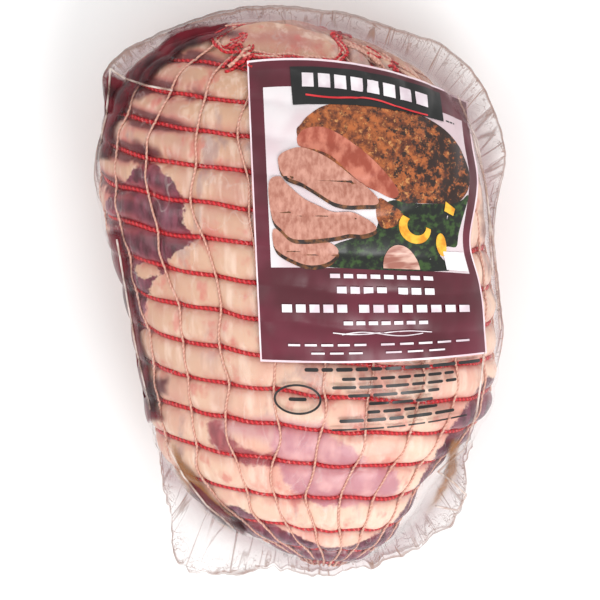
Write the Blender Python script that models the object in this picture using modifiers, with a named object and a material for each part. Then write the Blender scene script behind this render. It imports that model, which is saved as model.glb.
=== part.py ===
"""Boneless leg of lamb, raw, in elastic netting and vacuum packed in a clear film bag.

The pack lies on its back on a small flat spot, broad end towards +Y, shown side up. The whole
sealed pack is one solid: the netted leg, pressed into pillows by the net's rings and strings,
and the margin of loose film that stands out round its middle.
Metres, +Z up, origin under the middle of the pack at the level of the flat spot.
"""

import math

import bmesh
import bpy
import numpy
from mathutils import Vector, noise

OBJECT_NAME = "netted_leg_pack"
NODE_NAME = "sealed_bag"

# The leg
LEG_LENGTH = 0.245
HALF_WIDTHS = (0.102, 0.093, 0.089, 0.085, 0.080, 0.066, 0.049)  # broad end to narrow end
MIDDLES = (-0.004, -0.004, -0.003, 0.005, 0.008, 0.001, 0.011)  # sideways, at the same places
BROAD_END_POWER = 3.3  # how bluntly each end rounds over
NARROW_END_POWER = 5.0
HEIGHT_END_POWER = 2.5
SECTION_POWER = 2.25
MIDDLE_LEVEL = 0.042  # where the leg is widest
CROWN_HEIGHT = 0.053  # above that level
BELLY_DEPTH = 0.046  # below it, before the weight flattens the underside
SLANT = 0.10  # the net's rings cross the leg at this slope

# Unevenness of the meat
SWELL_SIZE = 0.055
SWELL_HEIGHT = 0.003

# The net, which presses the fat into pillows
RINGS = 18
ROWS_PER_RING = 3
STRINGS = 20
COLUMNS_PER_STRING = 2
RING_BITE = 0.0028
STRING_BITE = 0.0014
PILLOW_POWER = 0.6
MOUTH_SHARE = 0.045  # the net stops short of the broad end, where the fat bulges bare
FLAT_FROM = 0.004  # the weight presses the pillows flat below these levels
FLAT_TO = 0.014

# The margin of loose film, as points of its outer edge, clockwise from the broad end
MARGIN_EDGE = (
    (-0.013, 0.131), (0.018, 0.128), (0.047, 0.120), (0.070, 0.109), (0.084, 0.091),
    (0.092, 0.064), (0.087, 0.031), (0.090, 0.004), (0.091, -0.024), (0.080, -0.056),
    (0.076, -0.079), (0.075, -0.098), (0.057, -0.116), (0.028, -0.1283), (-0.011, -0.1293),
    (-0.052, -0.1285), (-0.061, -0.095), (-0.065, -0.068), (-0.072, -0.038), (-0.077, -0.006),
    (-0.083, 0.027), (-0.092, 0.055), (-0.087, 0.084), (-0.085, 0.105), (-0.050, 0.124),
)
MARGIN_THICKNESS = 0.0018
MARGIN_ROOT = 0.62  # the margin starts at this share of the way out, inside the leg
MARGIN_STEPS = 5
MARGIN_COLUMNS_PER_POINT = 4
MARGIN_LEVEL = 0.040
RUFFLE_HEIGHT = 0.0028
RUFFLES = 17
FINE_RUFFLE = 0.38  # share of the height in a second, quicker ripple
FINE_RUFFLES = 29

MERIDIAN_SAMPLES = 400


def between(values, share):
    """A smooth curve through evenly spaced values, read at a share of the way along them."""
    padded = [2 * values[0] - values[1], *values, 2 * values[-1] - values[-2]]
    place = min(max(share, 0.0), 1.0) * (len(values) - 1)
    index = min(int(place), len(values) - 2)
    before, start, end, after = padded[index:index + 4]
    t = place - index
    return 0.5 * (
        2 * start
        + (end - before) * t
        + (2 * before - 5 * start + 4 * end - after) * t ** 2
        + (3 * start - before - 3 * end + after) * t ** 3
    )


def around(points, share):
    """A smooth closed curve through points, read at a share of the way round it."""
    count = len(points)
    place = (share % 1.0) * count
    index = int(place) % count
    t = place - int(place)
    before, start, end, after = (Vector(points[(index + k) % count]) for k in (-1, 0, 1, 2))
    return 0.5 * (
        2 * start
        + (end - before) * t
        + (2 * before - 5 * start + 4 * end - after) * t ** 2
        + (3 * start - before - 3 * end + after) * t ** 3
    )


def ease(value, low, high):
    """0 below low, 1 above high, smooth between."""
    t = min(max((value - low) / (high - low), 0.0), 1.0)
    return t * t * (3 - 2 * t)


def rounding(share, broad_power, narrow_power):
    """How far a section opens at a share of the length: 0 at both ends, 1 in the middle."""
    power = broad_power if share < 0.5 else narrow_power
    return math.sqrt(max(0.0, 1.0 - abs(2 * share - 1) ** power))


def signed_power(value, power):
    return math.copysign(abs(value) ** power, value)


def even_shares():
    """Shares of the length that lie evenly along the leg's crown, from end to end."""
    turns = numpy.linspace(0.0, math.pi, MERIDIAN_SAMPLES)
    shares = 0.5 - 0.5 * numpy.cos(turns)
    crown = [CROWN_HEIGHT * rounding(s, HEIGHT_END_POWER, HEIGHT_END_POWER) for s in shares]
    steps = numpy.hypot(numpy.diff(shares) * LEG_LENGTH, numpy.diff(crown))
    walked = numpy.concatenate(([0.0], numpy.cumsum(steps)))
    return walked / walked[-1], shares


def pillow(phase):
    """0 in a groove, where phase is whole, and 1 on the pillow between two grooves."""
    return abs(math.sin(math.pi * phase)) ** PILLOW_POWER


def leg_point(row_share, share, turn):
    """A point of the netted leg, for a row of the net, its share of the length and a turn."""
    half_width = between(HALF_WIDTHS, share) * rounding(share, BROAD_END_POWER, NARROW_END_POWER)
    depth = CROWN_HEIGHT if math.sin(turn) > 0 else BELLY_DEPTH
    depth *= rounding(share, HEIGHT_END_POWER, HEIGHT_END_POWER)
    across = half_width * signed_power(math.cos(turn), 2 / SECTION_POWER)
    up = depth * signed_power(math.sin(turn), 2 / SECTION_POWER)
    level = MIDDLE_LEVEL + up
    netted = ease(level, FLAT_FROM, FLAT_TO) * ease(share, MOUTH_SHARE / 2, MOUTH_SHARE)
    bite = RING_BITE * (1 - pillow(row_share * RINGS))
    bite += STRING_BITE * (1 - pillow(turn / math.tau * STRINGS))
    place = Vector((across, LEG_LENGTH * (0.5 - share), up))
    swell = SWELL_HEIGHT * noise.noise(place / SWELL_SIZE)
    scale = 1 + (swell - netted * bite) / HALF_WIDTHS[0]
    x = across * scale + between(MIDDLES, share)
    return Vector((x, place.y - SLANT * x, MIDDLE_LEVEL + up * scale))


def shade_smooth(mesh):
    for face in mesh.polygons:
        face.use_smooth = True


def add_object(name, mesh, collection):
    made = bpy.data.objects.new(name, mesh)
    collection.objects.link(made)
    return made


def make_leg(collection):
    """The netted leg: a sphere's rows and columns moved onto the leg, cut flat where it rests."""
    body = bmesh.new()
    bmesh.ops.create_uvsphere(
        body, u_segments=STRINGS * COLUMNS_PER_STRING, v_segments=RINGS * ROWS_PER_RING, radius=1.0
    )
    walked, shares = even_shares()
    for vertex in body.verts:
        row_share = math.acos(min(max(vertex.co.z, -1.0), 1.0)) / math.pi
        share = float(numpy.interp(row_share, walked, shares))
        vertex.co = leg_point(row_share, share, math.atan2(vertex.co.y, vertex.co.x))
    whole = body.verts[:] + body.edges[:] + body.faces[:]
    cut = bmesh.ops.bisect_plane(
        body, geom=whole, plane_co=(0, 0, 0), plane_no=(0, 0, -1), clear_outer=True
    )
    rim = [item for item in cut["geom_cut"] if isinstance(item, bmesh.types.BMEdge)]
    bmesh.ops.contextual_create(body, geom=rim)
    bmesh.ops.recalc_face_normals(body, faces=body.faces)
    mesh = bpy.data.meshes.new(NODE_NAME)
    body.to_mesh(mesh)
    body.free()
    shade_smooth(mesh)
    return add_object(NODE_NAME, mesh, collection)


def margin_level(share, reach):
    """Height of the loose film at a share of the way round; reach is 0 at its root, 1 outside."""
    wave = math.sin(RUFFLES * math.tau * share)
    wave += FINE_RUFFLE * math.sin(FINE_RUFFLES * math.tau * share + 3 * reach)
    return MARGIN_LEVEL + RUFFLE_HEIGHT * reach ** 2 * wave


def make_margin(collection):
    """The loose film round the leg: a circle's edge drawn outwards in steps, then thickened."""
    columns = len(MARGIN_EDGE) * MARGIN_COLUMNS_PER_POINT
    film = bmesh.new()
    bmesh.ops.create_circle(film, cap_ends=False, segments=columns, radius=1.0)
    loops = [sorted(film.verts, key=lambda vertex: math.atan2(vertex.co.x, vertex.co.y))]
    edges = film.edges[:]
    for _ in range(MARGIN_STEPS):
        drawn = bmesh.ops.extrude_edge_only(film, edges=edges)["geom"]
        edges = [item for item in drawn if isinstance(item, bmesh.types.BMEdge)]
        fresh = {item for item in drawn if isinstance(item, bmesh.types.BMVert)}
        edges = [edge for edge in edges if set(edge.verts) <= fresh]
        loops.append(sorted(fresh, key=lambda vertex: math.atan2(vertex.co.x, vertex.co.y)))
    for step, loop in enumerate(loops):
        reach = step / MARGIN_STEPS
        for column, vertex in enumerate(loop):
            share = column / columns
            edge = around(MARGIN_EDGE, share) * (MARGIN_ROOT + (1 - MARGIN_ROOT) * reach)
            vertex.co = (edge.x, edge.y, margin_level(share, reach))
    bmesh.ops.recalc_face_normals(film, faces=film.faces)
    mesh = bpy.data.meshes.new("loose_film")
    film.to_mesh(mesh)
    film.free()
    margin = add_object("loose_film", mesh, collection)
    thicken = margin.modifiers.new("thickness", "SOLIDIFY")
    thicken.thickness = MARGIN_THICKNESS
    thicken.offset = 0
    margin.hide_render = True
    margin.display_type = "WIRE"
    return margin


def join(target, other):
    union = target.modifiers.new(other.name, "BOOLEAN")
    union.operation = "UNION"
    union.solver = "EXACT"
    union.object = other


def bagged_lamb_material():
    """Pale fat under clear glossy film."""
    made = bpy.data.materials.new("bagged_lamb")
    made.use_nodes = True
    shader = made.node_tree.nodes["Principled BSDF"]
    shader.inputs["Base Color"].default_value = (0.62, 0.36, 0.28, 1.0)
    shader.inputs["Roughness"].default_value = 0.25
    shader.inputs["Metallic"].default_value = 0.0
    return made


def new_collection(name):
    made = bpy.data.collections.new(name)
    bpy.context.scene.collection.children.link(made)
    return made


def main():
    for old in list(bpy.data.objects):
        bpy.data.objects.remove(old, do_unlink=True)
    parts = new_collection(OBJECT_NAME)
    helpers = new_collection("helpers")
    bag = make_leg(parts)
    join(bag, make_margin(helpers))
    bag.data.materials.append(bagged_lamb_material())


main()
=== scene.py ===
"""Looks of the vacuum-packed boneless leg of lamb: the netted leg, its film bag and the bag's print.

The leg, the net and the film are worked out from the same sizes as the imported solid. Places on the
shown side are given on a plane that faces the camera: metres right of and above the pack's middle.
"""

import math
import random

import bpy
import numpy as np
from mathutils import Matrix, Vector, noise
from mathutils.bvhtree import BVHTree
from mathutils.geometry import delaunay_2d_cdt


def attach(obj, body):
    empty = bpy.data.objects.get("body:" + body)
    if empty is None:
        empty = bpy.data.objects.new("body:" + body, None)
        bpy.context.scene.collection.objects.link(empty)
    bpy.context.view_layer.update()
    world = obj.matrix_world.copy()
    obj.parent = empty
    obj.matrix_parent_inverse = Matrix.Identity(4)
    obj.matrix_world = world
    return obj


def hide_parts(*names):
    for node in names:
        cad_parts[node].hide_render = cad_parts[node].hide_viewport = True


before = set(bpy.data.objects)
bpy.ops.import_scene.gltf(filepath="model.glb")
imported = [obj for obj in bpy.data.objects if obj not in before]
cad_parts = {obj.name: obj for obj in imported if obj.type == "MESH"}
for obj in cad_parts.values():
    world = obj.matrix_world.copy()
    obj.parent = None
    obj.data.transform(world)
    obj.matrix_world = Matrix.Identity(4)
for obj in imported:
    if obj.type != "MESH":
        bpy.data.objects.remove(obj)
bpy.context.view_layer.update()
BAG = "sealed_bag"
BODY = "root"

# The leg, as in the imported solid
LEG_LENGTH = 0.245
HALF_WIDTHS = (0.102, 0.093, 0.089, 0.085, 0.080, 0.066, 0.049)
MIDDLES = (-0.004, -0.004, -0.003, 0.005, 0.008, 0.001, 0.011)
BROAD_END_POWER = 3.3
NARROW_END_POWER = 5.0
HEIGHT_END_POWER = 2.5
SECTION_POWER = 2.25
MIDDLE_LEVEL = 0.042
CROWN_HEIGHT = 0.053
BELLY_DEPTH = 0.046
SLANT = 0.10
SWELL_SIZE = 0.055
SWELL_HEIGHT = 0.003
FLOOR_GAP = 0.0006  # the meat stays this far above the floor, inside its film

# The net
RINGS = 18
FIRST_RING = 2
LAST_RING = 17
STRINGS = 20
MOUTH = 0.092  # share of the way along the leg where the net's mouth gathers, on the front
MOUTH_AT_SHOULDER = 0.035
RING_RADIUS = 0.00112
STRING_RADIUS = 0.00054
CORD_PITCH = 0.0022
YARN_PITCH = 0.0018

# The view: the pack stood upright and was seen from a little above
VIEW_TILT = math.radians(12)
VIEW_LEVEL = 0.0475
VIEW_DISTANCE = 1.7
VIEW_FIELD = 0.270
VIEW_DROP = 0.0009

TO_CAMERA = Vector((0, math.sin(VIEW_TILT), math.cos(VIEW_TILT)))
VIEW_UP = Vector((0, math.cos(VIEW_TILT), -math.sin(VIEW_TILT)))
VIEW_CENTRE = Vector((0, 0, VIEW_LEVEL))


# ---------------------------------------------------------------- curves and shapes

def between(values, shares):
    """A smooth curve through evenly spaced values, read at shares of the way along them."""
    values = np.asarray(values, float)
    padded = np.concatenate(([2 * values[0] - values[1]], values, [2 * values[-1] - values[-2]]))
    place = np.clip(shares, 0, 1) * (len(values) - 1)
    index = np.clip(place.astype(int), 0, len(values) - 2)
    t = place - index
    before, start, end, after = (padded[index + k] for k in range(4))
    return 0.5 * (
        2 * start + (end - before) * t
        + (2 * before - 5 * start + 4 * end - after) * t ** 2
        + (3 * start - before - 3 * end + after) * t ** 3
    )


def around(points, shares):
    """A smooth closed curve through points, read at shares of the way round it."""
    points = np.asarray(points, float)
    count = len(points)
    place = (np.asarray(shares) % 1.0) * count
    index = place.astype(int) % count
    t = (place - place.astype(int))[..., None]
    before, start, end, after = (points[(index + k) % count] for k in (-1, 0, 1, 2))
    return 0.5 * (
        2 * start + (end - before) * t
        + (2 * before - 5 * start + 4 * end - after) * t ** 2
        + (3 * start - before - 3 * end + after) * t ** 3
    )


def ease(values, low, high):
    t = np.clip((np.asarray(values, float) - low) / (high - low), 0, 1)
    return t * t * (3 - 2 * t)


def rounding(shares, broad_power, narrow_power):
    power = np.where(shares < 0.5, broad_power, narrow_power)
    return np.sqrt(np.clip(1 - np.abs(2 * shares - 1) ** power, 0, None))


def signed_power(values, power):
    return np.sign(values) * np.abs(values) ** power


def noise_at(points, size, shift=0.0):
    """Smooth noise, about -1 to 1, at each of an array of points, for bumps of a size in metres."""
    flat = np.asarray(points, float).reshape(-1, 3) / size + shift
    found = np.fromiter((noise.noise(p) for p in flat.tolist()), float, len(flat))
    return found.reshape(np.asarray(points).shape[:-1])


def even_table(xs, ys):
    steps = np.hypot(np.diff(xs), np.diff(ys))
    walked = np.concatenate(([0.0], np.cumsum(steps)))
    return walked / walked[-1]


def share_table():
    """Even steps along the leg's crown, matched to shares of its length."""
    shares = 0.5 - 0.5 * np.cos(np.linspace(0, math.pi, 400))
    crown = CROWN_HEIGHT * rounding(shares, HEIGHT_END_POWER, HEIGHT_END_POWER)
    return even_table(shares * LEG_LENGTH, crown), shares


def turn_table():
    """Even steps round a middle section, matched to turns: 0 is right, a quarter is the front."""
    turns = np.linspace(0, math.tau, 721)
    across, up = section(turns)
    return even_table(HALF_WIDTHS[3] * across, up * CROWN_HEIGHT), turns


def section(turns):
    up = signed_power(np.sin(turns), 2 / SECTION_POWER)
    up = np.where(up > 0, up, up * BELLY_DEPTH / CROWN_HEIGHT)
    return signed_power(np.cos(turns), 2 / SECTION_POWER), up


SHARE_TABLE = share_table()
TURN_TABLE = turn_table()


def leg_surface(rows, girths):
    """Points of the leg without its net, for shares along the crown and shares of the girth."""
    shares = np.interp(rows, *SHARE_TABLE)
    across, up = section(np.interp(np.asarray(girths) % 1.0, *TURN_TABLE))
    across = across * between(HALF_WIDTHS, shares) * rounding(shares, BROAD_END_POWER, NARROW_END_POWER)
    up = up * CROWN_HEIGHT * rounding(shares, HEIGHT_END_POWER, HEIGHT_END_POWER)
    along = LEG_LENGTH * (0.5 - shares)
    place = np.stack(np.broadcast_arrays(across, along, up), -1)
    scale = 1 + SWELL_HEIGHT * noise_at(place, SWELL_SIZE) / HALF_WIDTHS[0]
    x = across * scale + between(MIDDLES, shares)
    return np.stack(np.broadcast_arrays(x, along - SLANT * x, MIDDLE_LEVEL + up * scale), -1)


def unit(vectors):
    return vectors / np.maximum(np.linalg.norm(vectors, axis=-1, keepdims=True), 1e-12)


def leg_frame(rows, girths):
    """Points of the leg and the directions straight out of it."""
    step = 0.002
    points = leg_surface(rows, girths)
    along = leg_surface(np.clip(rows + step, 0, 1), girths) - leg_surface(np.clip(rows - step, 0, 1), girths)
    across = leg_surface(rows, girths + step) - leg_surface(rows, girths - step)
    return points, unit(np.cross(across, along))


# ---------------------------------------------------------------- the net's lines

def wander(rows, girths, size, shift):
    """Slow sideways wander of a net line, the same wherever it is read."""
    angle = np.asarray(girths) * math.tau
    place = np.stack(np.broadcast_arrays(np.cos(angle), np.sin(angle), rows * 4.0), -1)
    return noise_at(place, size, shift)


def shoulder(rows, girths):
    """Where the net is pulled up over the right shoulder, 0 to 1."""
    turn = (np.asarray(girths) + 0.5) % 1.0 - 0.5
    across = np.clip((0.19 - turn) / 0.20, 0, 1) * ease(turn, -0.30, -0.06)
    return across * (1 - ease(rows, 0.16, 0.42))


def mouth(girths):
    """Share of the way along the leg where the net ends."""
    turn = (np.asarray(girths) + 0.5) % 1.0 - 0.5
    return MOUTH - (MOUTH - MOUTH_AT_SHOULDER) * ease(np.abs(turn - 0.28), 0.09, 0.20)


RING_WANDER = 0.11
STRING_WANDER = 0.30
SHOULDER_PULL = 3.6
END_DRIFT = 0.45


def ring_offset(rows, girths):
    offset = RING_WANDER * wander(rows, girths, 0.30, 3.0)
    offset += SHOULDER_PULL * shoulder(rows, girths)
    return offset - 0.1 - END_DRIFT * ease(rows, 0.68, 0.9)


def string_offset(rows, girths):
    return STRING_WANDER * wander(rows, girths, 0.35, 11.0)


def ring_rows(ring, girths):
    rows = np.full(len(girths), ring / RINGS)
    for _ in range(6):
        rows = np.clip((ring - ring_offset(rows, girths)) / RINGS, mouth(girths), 1)
    return rows


def string_girths(string, rows):
    girths = np.full(len(rows), string / STRINGS)
    for _ in range(4):
        girths = (string - string_offset(rows, girths)) / STRINGS
    return girths


def groove(phase, spacing, width):
    """1 at a net line, 0 well away from it; phase counts the lines."""
    away = np.abs(phase - np.round(phase)) * spacing
    return np.exp(-(away / width) ** 2)


def dome(phase):
    """1 on a net line, falling to 0 on top of the pillow between two lines."""
    return 1 - np.abs(np.sin(math.pi * phase)) ** 0.7


RING_SPACING = 0.0161
STRING_SPACING = 0.0207
RING_BITE = 0.0026
RING_CUT = 0.0011
STRING_BITE = 0.0010
STRING_CUT = 0.0005
FLAT_FROM = 0.004
FLAT_TO = 0.016
BULGE = 0.002
TUCK = 0.0065
NIP = 0.0022


def bite(rows, girths, points):
    """How deep the net presses into the leg: a broad pillow shape and a narrow cut, in metres."""
    ring = rows * RINGS + ring_offset(rows, girths)
    string = girths * STRINGS + string_offset(rows, girths)
    broad = RING_BITE * dome(ring) + STRING_BITE * dome(string)
    cut = RING_CUT * groove(ring, RING_SPACING, 0.0016) + STRING_CUT * groove(string, STRING_SPACING, 0.0012)
    edge = mouth(girths)
    netted = ease(rows - edge, -0.012, 0.012) * ease(1 - rows, 0.015, 0.05)
    pressed = ease(points[..., 2], FLAT_FROM, FLAT_TO)
    return broad * netted * pressed + tuck(rows, girths), cut * netted * pressed


def tuck(rows, girths):
    """How far the leg lies inside the bag at the low right, in metres."""
    turn = (np.asarray(girths) + 0.5) % 1.0 - 0.5
    return TUCK * np.exp(-((np.asarray(rows) - 0.79) / 0.085) ** 2 - ((turn - 0.02) / 0.10) ** 2)


def bulge(rows, girths):
    """The bare end swells out of the net's mouth, which nips it all round."""
    place = rows / mouth(girths)
    return BULGE * (1 - ease(place, 0.0, 1.0)) - NIP * np.exp(-((place - 1.05) / 0.13) ** 2)


# ---------------------------------------------------------------- meshes

def add_mesh(name, vertices, faces, smooth=True):
    mesh = bpy.data.meshes.new(name)
    mesh.from_pydata(np.asarray(vertices).tolist(), [], faces)
    mesh.validate()
    mesh.polygons.foreach_set("use_smooth", [smooth] * len(mesh.polygons))
    made = bpy.data.objects.new(name, mesh)
    bpy.context.scene.collection.objects.link(made)
    return made


def add_values(piece, name, values):
    layer = piece.data.attributes.new(name, "FLOAT", "POINT")
    layer.data.foreach_set("value", np.asarray(values, np.float32).ravel())


def closed_grid_faces(rows, columns):
    """Faces of a wrapped grid with a point at each end: pole, rows of columns, pole."""
    here = np.arange(rows * columns).reshape(rows, columns) + 1
    beside = np.roll(here, -1, axis=1)
    quads = np.stack((here[:-1], beside[:-1], beside[1:], here[1:]), -1).reshape(-1, 4).tolist()
    last = rows * columns + 1
    caps = [(0, int(b), int(a)) for a, b in zip(here[0], beside[0])]
    caps += [(last, int(a), int(b)) for a, b in zip(here[-1], beside[-1])]
    return quads + caps


def girth_steps(front, back):
    """Shares of the girth, close together on the shown front and further apart behind."""
    return np.concatenate((np.linspace(0, 0.52, front, endpoint=False),
                           np.linspace(0.52, 1.0, back, endpoint=False)))


def seen(points):
    """Where points show on the plane that faces the camera."""
    points = np.asarray(points)
    up = points[..., 1] * VIEW_UP.y + (points[..., 2] - VIEW_LEVEL) * VIEW_UP.z
    return np.stack((points[..., 0], up), -1)


def tube(path, out, radius, sides, closed, lobes=0.0, pitch=0.004):
    """Vertices, faces and two coordinates of a cord along a path; lobes make it a twisted cord."""
    ahead = np.roll(path, -1, 0) - np.roll(path, 1, 0)
    if not closed:
        ahead[0] = path[1] - path[0]
        ahead[-1] = path[-1] - path[-2]
    ahead = unit(ahead)
    side = unit(np.cross(ahead, out))
    top = np.cross(side, ahead)
    walked = np.concatenate(([0.0], np.cumsum(np.linalg.norm(np.diff(path, axis=0), axis=1))))
    angle = np.linspace(0, math.tau, sides, endpoint=False)
    twist = walked[:, None] / pitch * math.pi
    size = radius * (1 - lobes + lobes * np.abs(np.cos(angle[None] - twist)))
    ring = (np.cos(angle)[None, :, None] * side[:, None] + np.sin(angle)[None, :, None] * top[:, None])
    points = path[:, None] + ring * size[..., None]
    count = len(path)
    here = np.arange(count * sides).reshape(count, sides)
    turn = np.roll(here, -1, axis=1)
    rows = count if closed else count - 1
    following = np.roll(here, -1, axis=0)
    quads = np.stack((here[:rows], following[:rows], np.roll(following, -1, axis=1)[:rows], turn[:rows]), -1)
    faces = quads.reshape(-1, 4).tolist()
    if not closed:
        faces.append(here[0].tolist())
        faces.append(here[-1][::-1].tolist())
    along = np.broadcast_to(walked[:, None], (count, sides)).reshape(-1)
    about = np.broadcast_to(angle[None], (count, sides)).reshape(-1)
    return points.reshape(-1, 3), faces, along, about


def join_tubes(name, tubes):
    vertices, faces, along, about = [], [], [], []
    base = 0
    for points, quads, walked, angle in tubes:
        vertices.append(points)
        faces += [[index + base for index in face] for face in quads]
        along.append(walked)
        about.append(angle)
        base += len(points)
    piece = add_mesh(name, np.concatenate(vertices), faces)
    add_values(piece, "along", np.concatenate(along))
    add_values(piece, "about", np.concatenate(about))
    return piece


# ---------------------------------------------------------------- regions of the shown side

def inside_distance(points, outline):
    """Signed distance to a closed outline, positive inside, in metres."""
    outline = np.asarray(outline, float)
    starts, ends = outline, np.roll(outline, -1, 0)
    best = np.full(points.shape[:-1], 1e9)
    odd = np.zeros(points.shape[:-1], bool)
    for (ax, ay), (bx, by) in zip(starts, ends):
        dx, dy = bx - ax, by - ay
        px, py = points[..., 0] - ax, points[..., 1] - ay
        t = np.clip((px * dx + py * dy) / max(dx * dx + dy * dy, 1e-18), 0, 1)
        best = np.minimum(best, np.hypot(px - t * dx, py - t * dy))
        if ay != by:
            crosses = (ay > points[..., 1]) != (by > points[..., 1])
            odd ^= crosses & (points[..., 0] < ax + (points[..., 1] - ay) / (by - ay) * dx)
    return np.where(odd, best, -best)


def mm(*pairs):
    """An outline from pairs in millimetres."""
    return np.array(pairs, float) / 1000


# Bare muscle on the left, between the flaps of fat
LEFT_MUSCLE = mm(
    (-77, 52), (-69, 60), (-62, 58), (-57, 53), (-51, 43), (-50.5, 33), (-45.5, 26), (-51, 22.5),
    (-55, 20), (-58, 16), (-61, 10), (-65, 7), (-68, 0), (-69, -13), (-73, -16), (-76, -2),
    (-79, 10), (-83, 24), (-87, 42),
)
LEFT_FLAP = mm((-74, 13.5), (-69, 15.5), (-63, 15), (-61.5, 11), (-66, 9), (-71, 9.5))
BAND = mm(
    (-40, -54.5), (-35, -55), (-32, -60), (-27, -66), (-20, -69), (-11, -69), (-9.5, -73),
    (-14, -75), (-23, -74), (-31, -71), (-37, -67), (-41, -62),
)
WINDOW = mm(
    (-11, -55), (0, -57), (11, -55.5), (14, -62), (20, -64), (27, -70), (33, -73), (43, -77.5),
    (45, -84), (43, -89.5), (34, -92), (22, -93.5), (11, -93), (4, -91), (-2, -87), (-7, -81),
    (-10.5, -73), (-13, -66),
)
VEIL = mm((-14, -50), (2, -52), (12, -54), (16, -64), (6, -72), (-8, -74), (-15, -66), (-38, -62), (-40, -52))
RIM = mm(
    (-26, -94), (-19, -98.5), (-11, -102), (-2, -106), (4.5, -109.5), (11, -112), (21, -112.5),
    (29, -109.5), (35, -106), (41.5, -102), (46, -96), (49, -91), (53, -84), (58.5, -73),
    (62, -67), (66, -60), (72, -50.5), (78, -43), (84, -35), (110, -40), (110, -150), (-60, -150), (-36, -92),
)
BLOOD = (
    mm((-84, 97), (-78, 95), (-68, 90), (-70, 87), (-76, 88), (-79, 80), (-82, 67), (-86, 67), (-88, 82)),
    mm((-80, 96), (-53, 121), (-46, 120), (-61, 107), (-72, 95)),
    mm((-72, 70), (-62, 64), (-60, 62), (-66, 62), (-74, 66)),
    mm((-67, -37), (-59, -36), (-60, -42), (-66, -46)),
)
RIGHT_EDGE = mm((76, 60), (84, 56), (96, 60), (96, -20), (88, -20), (83, 10), (78, 30))


# Juice caught between the film and the leg: dark at the top left and down the left edge,
# browner low on the left and inside the low right edge.
JUICE_POOLS = (
    mm((-78, 99), (-68, 108), (-57, 117), (-45, 121), (-32, 123), (-30, 119), (-40, 114), (-50, 110),
       (-59, 103),
       (-68, 95), (-74, 92)),
    mm((-86, 101), (-79, 97), (-75, 90), (-79, 82), (-83, 75), (-85, 62), (-89, 62), (-88, 82)),
    mm((-86, 30), (-79, 28), (-75, 2), (-71, -20), (-66, -42), (-62, -54), (-70, -56), (-76, -34), (-82, -6)),
    mm((-49, -84), (-42, -90), (-33, -98), (-24, -103), (-26, -107), (-38, -100), (-48, -90)),
)
BROWN_POOLS = (
    mm((-58, -62), (-50, -76), (-40, -88), (-30, -97), (-30, -106), (-44, -97), (-56, -80)),
    mm((67, -62), (72, -64), (71, -78), (65, -92), (57, -99), (60, -91), (66, -78)),
)


def hidden_fade(points):
    """How much smaller each region is, in metres, down on the sides that the camera can't see."""
    below = np.clip((MIDDLE_LEVEL - points[:, 2]) / 0.012, 0, 3)
    return np.maximum(below * (0.005 + 0.005 * noise_at(points, 0.010, 33.0)), 0)


def add_stains(piece, points):
    """Stores how far each vertex is inside the pools of juice on the shown side."""
    where = seen(points)
    under = -hidden_fade(points)
    for name, pools in (("juice", JUICE_POOLS), ("brown", BROWN_POOLS)):
        depth = np.max([inside_distance(where, outline) for outline in pools], axis=0)
        add_values(piece, name, (depth + under) * 1000)


def region_values(piece, points):
    """Stores how far each vertex is inside each region of the shown side."""
    where = seen(points)
    front = -hidden_fade(points)
    muscle = inside_distance(where, LEFT_MUSCLE)
    muscle = np.minimum(muscle, -inside_distance(where, LEFT_FLAP))
    back = 0.006 * noise_at(points, 0.045, 31.0) - 0.0012
    rear = back * 4 - 0.006 - 0.02 * ease(points[:, 2], MIDDLE_LEVEL - 0.020, MIDDLE_LEVEL - 0.005)
    muscle = np.maximum(muscle + front, rear)
    add_values(piece, "muscle", muscle * 1000)
    add_values(piece, "band", (inside_distance(where, BAND) + front) * 1000)
    add_values(piece, "window", (inside_distance(where, WINDOW) + front) * 1000)
    add_values(piece, "veil", (inside_distance(where, VEIL) + front) * 1000)
    add_values(piece, "rim", (inside_distance(where, RIM) + 0.4 * front) * 1000)
    blood = np.max([inside_distance(where, outline) for outline in BLOOD], axis=0)
    edge = inside_distance(where, RIGHT_EDGE)
    add_values(piece, "blood", (np.maximum(blood, edge - 0.004) + front) * 1000)


# ---------------------------------------------------------------- materials

def new_material(name):
    made = bpy.data.materials.new(name)
    made.use_nodes = True
    tree = made.node_tree
    tree.nodes.clear()
    output = tree.nodes.new("ShaderNodeOutputMaterial")
    return made, tree, output


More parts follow.
